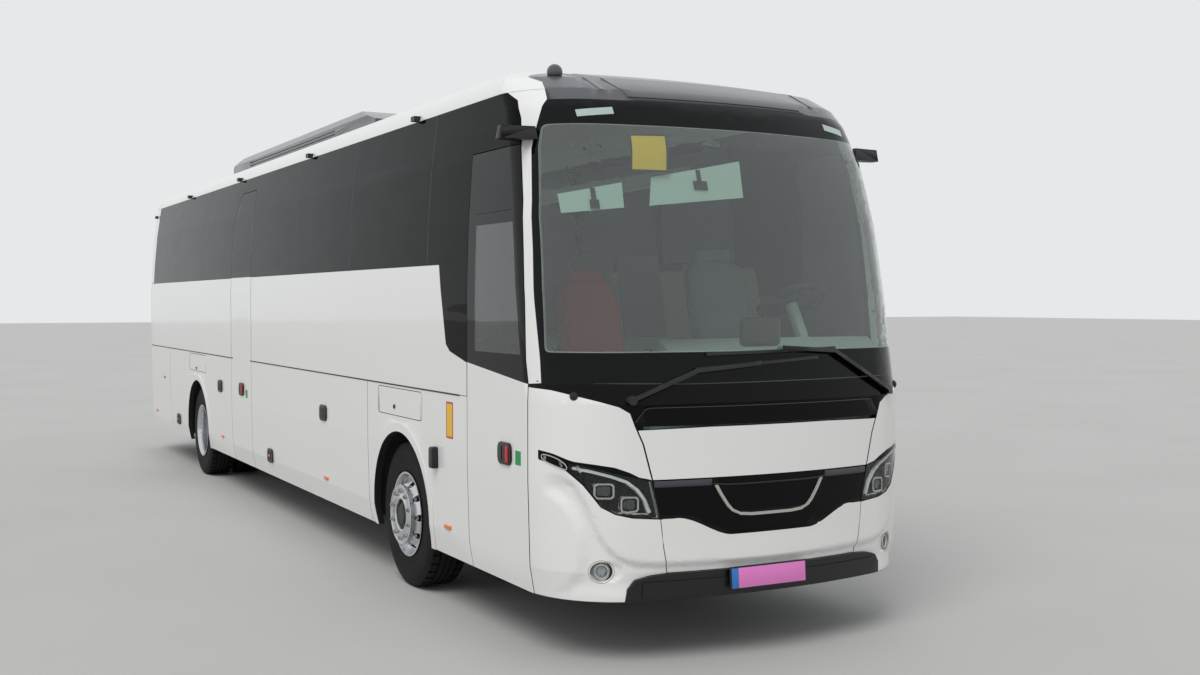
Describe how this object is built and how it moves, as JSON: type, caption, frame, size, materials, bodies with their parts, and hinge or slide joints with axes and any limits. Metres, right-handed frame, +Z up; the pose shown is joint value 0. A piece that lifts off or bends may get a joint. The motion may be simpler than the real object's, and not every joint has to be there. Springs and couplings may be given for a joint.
{
  "type": "coach bus",
  "caption": "Two-axle touring coach with hollow saloon, plug doors, lifting luggage and engine doors, and steered front wheels.",
  "frame": {"origin": "on the road below the middle of the coach", "axes": "+X forward along the coach, +Y to its left, +Z up"},
  "size_m": [12.91, 2.75, 3.7],
  "materials": {
    "white_paint": "gloss",
    "gloss_black": "gloss",
    "satin_black": "satin",
    "dark_glass": "gloss",
    "clear_glass": "gloss",
    "roof_grey": "gloss",
    "lamp_lens": "gloss",
    "tyre_rubber": "matte",
    "polished_aluminium": "polished",
    "chassis_paint": "satin",
    "floor_board": "matte",
    "seat_fabric": "woven",
    "cab_plastic": "matte"
  },
  "bodies": {
    "coach_body": {"ac_unit": "roof_grey", "bumper_center": "white_paint", "bumper_lip": "satin_black", "cab_seats": "seat_fabric", "chassis_frame": "chassis_paint", "dashboard": "cab_plastic", "engine_block": "chassis_paint", "floor_deck": "floor_board", "fog_lamps": "lamp_lens", "front_axle": "chassis_paint", "front_corners": "white_paint", "front_pillars": "white_paint", "grille_panel": "gloss_black", "headlamps": "lamp_lens", "lower_side_left": "white_paint", "lower_side_right": "white_paint", "luggage_bay": "chassis_paint", "mirror_cameras": "gloss_black", "racks_and_ceiling": "cab_plastic", "rear_axle": "chassis_paint", "rear_bumper": "white_paint", "rear_wall": "white_paint", "rear_window": "dark_glass", "roof_cap": "roof_grey", "roof_hatches": "roof_grey", "roof_panel": "white_paint", "seats_left": "seat_fabric", "seats_right": "seat_fabric", "side_glass_left": "dark_glass", "side_glass_right": "dark_glass", "side_wall_left": "white_paint", "side_wall_right": "white_paint", "tail_lamps": "lamp_lens", "wheel_housings": "chassis_paint", "window_frame_left": "satin_black", "window_frame_right": "satin_black", "windshield": "clear_glass", "wiper_panel": "gloss_black", "wipers": "satin_black"},
    "front_door_arm_body": {"front_door_arm": "satin_black"},
    "front_door_body": {"front_door": "white_paint", "front_door_glass": "dark_glass"},
    "mid_door_arm_body": {"mid_door_arm": "satin_black"},
    "mid_door_body": {"mid_door": "white_paint", "mid_door_glass": "dark_glass"},
    "luggage_door_right_body": {"luggage_door_right": "white_paint"},
    "luggage_door_left_body": {"luggage_door_left": "white_paint"},
    "front_flap_body": {"front_flap": "white_paint"},
    "engine_door_body": {"engine_door": "white_paint"},
    "steering_right": {"knuckle_right": "chassis_paint"},
    "steering_left": {"knuckle_left": "chassis_paint"},
    "front_wheel_right": {"front_tyre_right": "tyre_rubber", "front_rim_right": "polished_aluminium"},
    "front_wheel_left": {"front_tyre_left": "tyre_rubber", "front_rim_left": "polished_aluminium"},
    "rear_wheels_right": {"rear_tyres_right": "tyre_rubber", "rear_rims_right": "polished_aluminium"},
    "rear_wheels_left": {"rear_tyres_left": "tyre_rubber", "rear_rims_left": "polished_aluminium"},
    "steering_wheel_body": {"steering_wheel": "cab_plastic"}
  },
  "joints": [
    {"name": "front_door_swing", "type": "hinge", "parent": "coach_body", "child": "front_door_arm_body", "pos_m": [5.84, -1.178, 1], "axis": [0, 0, 1], "range_deg": [0, 150]},
    {"name": "front_door_follow", "type": "hinge", "parent": "front_door_arm_body", "child": "front_door_body", "pos_m": [5.40167, -1.13965, 1], "axis": [0, 0, 1], "range_deg": [-150, 0]},
    {"name": "mid_door_swing", "type": "hinge", "parent": "coach_body", "child": "mid_door_arm_body", "pos_m": [-1.42, -1.178, 1], "axis": [0, 0, -1], "range_deg": [0, 150]},
    {"name": "mid_door_follow", "type": "hinge", "parent": "mid_door_arm_body", "child": "mid_door_body", "pos_m": [-0.98167, -1.13965, 1], "axis": [0, 0, -1], "range_deg": [-150, 0]},
    {"name": "luggage_door_right_lift", "type": "hinge", "parent": "coach_body", "child": "luggage_door_right_body", "pos_m": [1.2275, -1.275, 1.42475], "axis": [-1, 0, 0], "range_deg": [0, 90]},
    {"name": "luggage_door_left_lift", "type": "hinge", "parent": "coach_body", "child": "luggage_door_left_body", "pos_m": [1.2275, 1.275, 1.42475], "axis": [1, 0, 0], "range_deg": [0, 90]},
    {"name": "front_flap_drop", "type": "hinge", "parent": "coach_body", "child": "front_flap_body", "pos_m": [6.455, 0, 1.03325], "axis": [0, 1, 0], "range_deg": [0, 90]},
    {"name": "engine_door_lift", "type": "hinge", "parent": "coach_body", "child": "engine_door_body", "pos_m": [-6.455, 0, 1.42475], "axis": [0, 1, 0], "range_deg": [0, 80]},
    {"name": "steer_right", "type": "hinge", "parent": "coach_body", "child": "steering_right", "pos_m": [3.75, -1, 0.512], "axis": [0, 0, 1], "range_deg": [-42, 42]},
    {"name": "steer_left", "type": "hinge", "parent": "coach_body", "child": "steering_left", "pos_m": [3.75, 1, 0.512], "axis": [0, 0, 1], "range_deg": [-42, 42]},
    {"name": "steering_wheel_turn", "type": "hinge", "parent": "coach_body", "child": "steering_wheel_body", "pos_m": [5.64, 0.72, 2.01], "axis": [-0.5, 0, 0.866], "range_deg": [-714, 714]},
    {"name": "front_wheel_right_spin", "type": "hinge", "parent": "steering_right", "child": "front_wheel_right", "pos_m": [3.75, -1.0775, 0.512], "axis": [0, 1, 0], "continuous": true},
    {"name": "front_wheel_left_spin", "type": "hinge", "parent": "steering_left", "child": "front_wheel_left", "pos_m": [3.75, 1.0775, 0.512], "axis": [0, 1, 0], "continuous": true},
    {"name": "rear_wheels_right_spin", "type": "hinge", "parent": "coach_body", "child": "rear_wheels_right", "pos_m": [-3.19, -0.91, 0.512], "axis": [0, 1, 0], "continuous": true},
    {"name": "rear_wheels_left_spin", "type": "hinge", "parent": "coach_body", "child": "rear_wheels_left", "pos_m": [-3.19, 0.91, 0.512], "axis": [0, 1, 0], "continuous": true}
  ],
  "couplings": [
    {"joint": "front_door_follow", "follows": "front_door_swing", "ratio": -1},
    {"joint": "mid_door_follow", "follows": "mid_door_swing", "ratio": -1},
    {"joint": "steer_left", "follows": "steer_right", "ratio": 1},
    {"joint": "steering_wheel_turn", "follows": "steer_right", "ratio": 17}
  ]
}
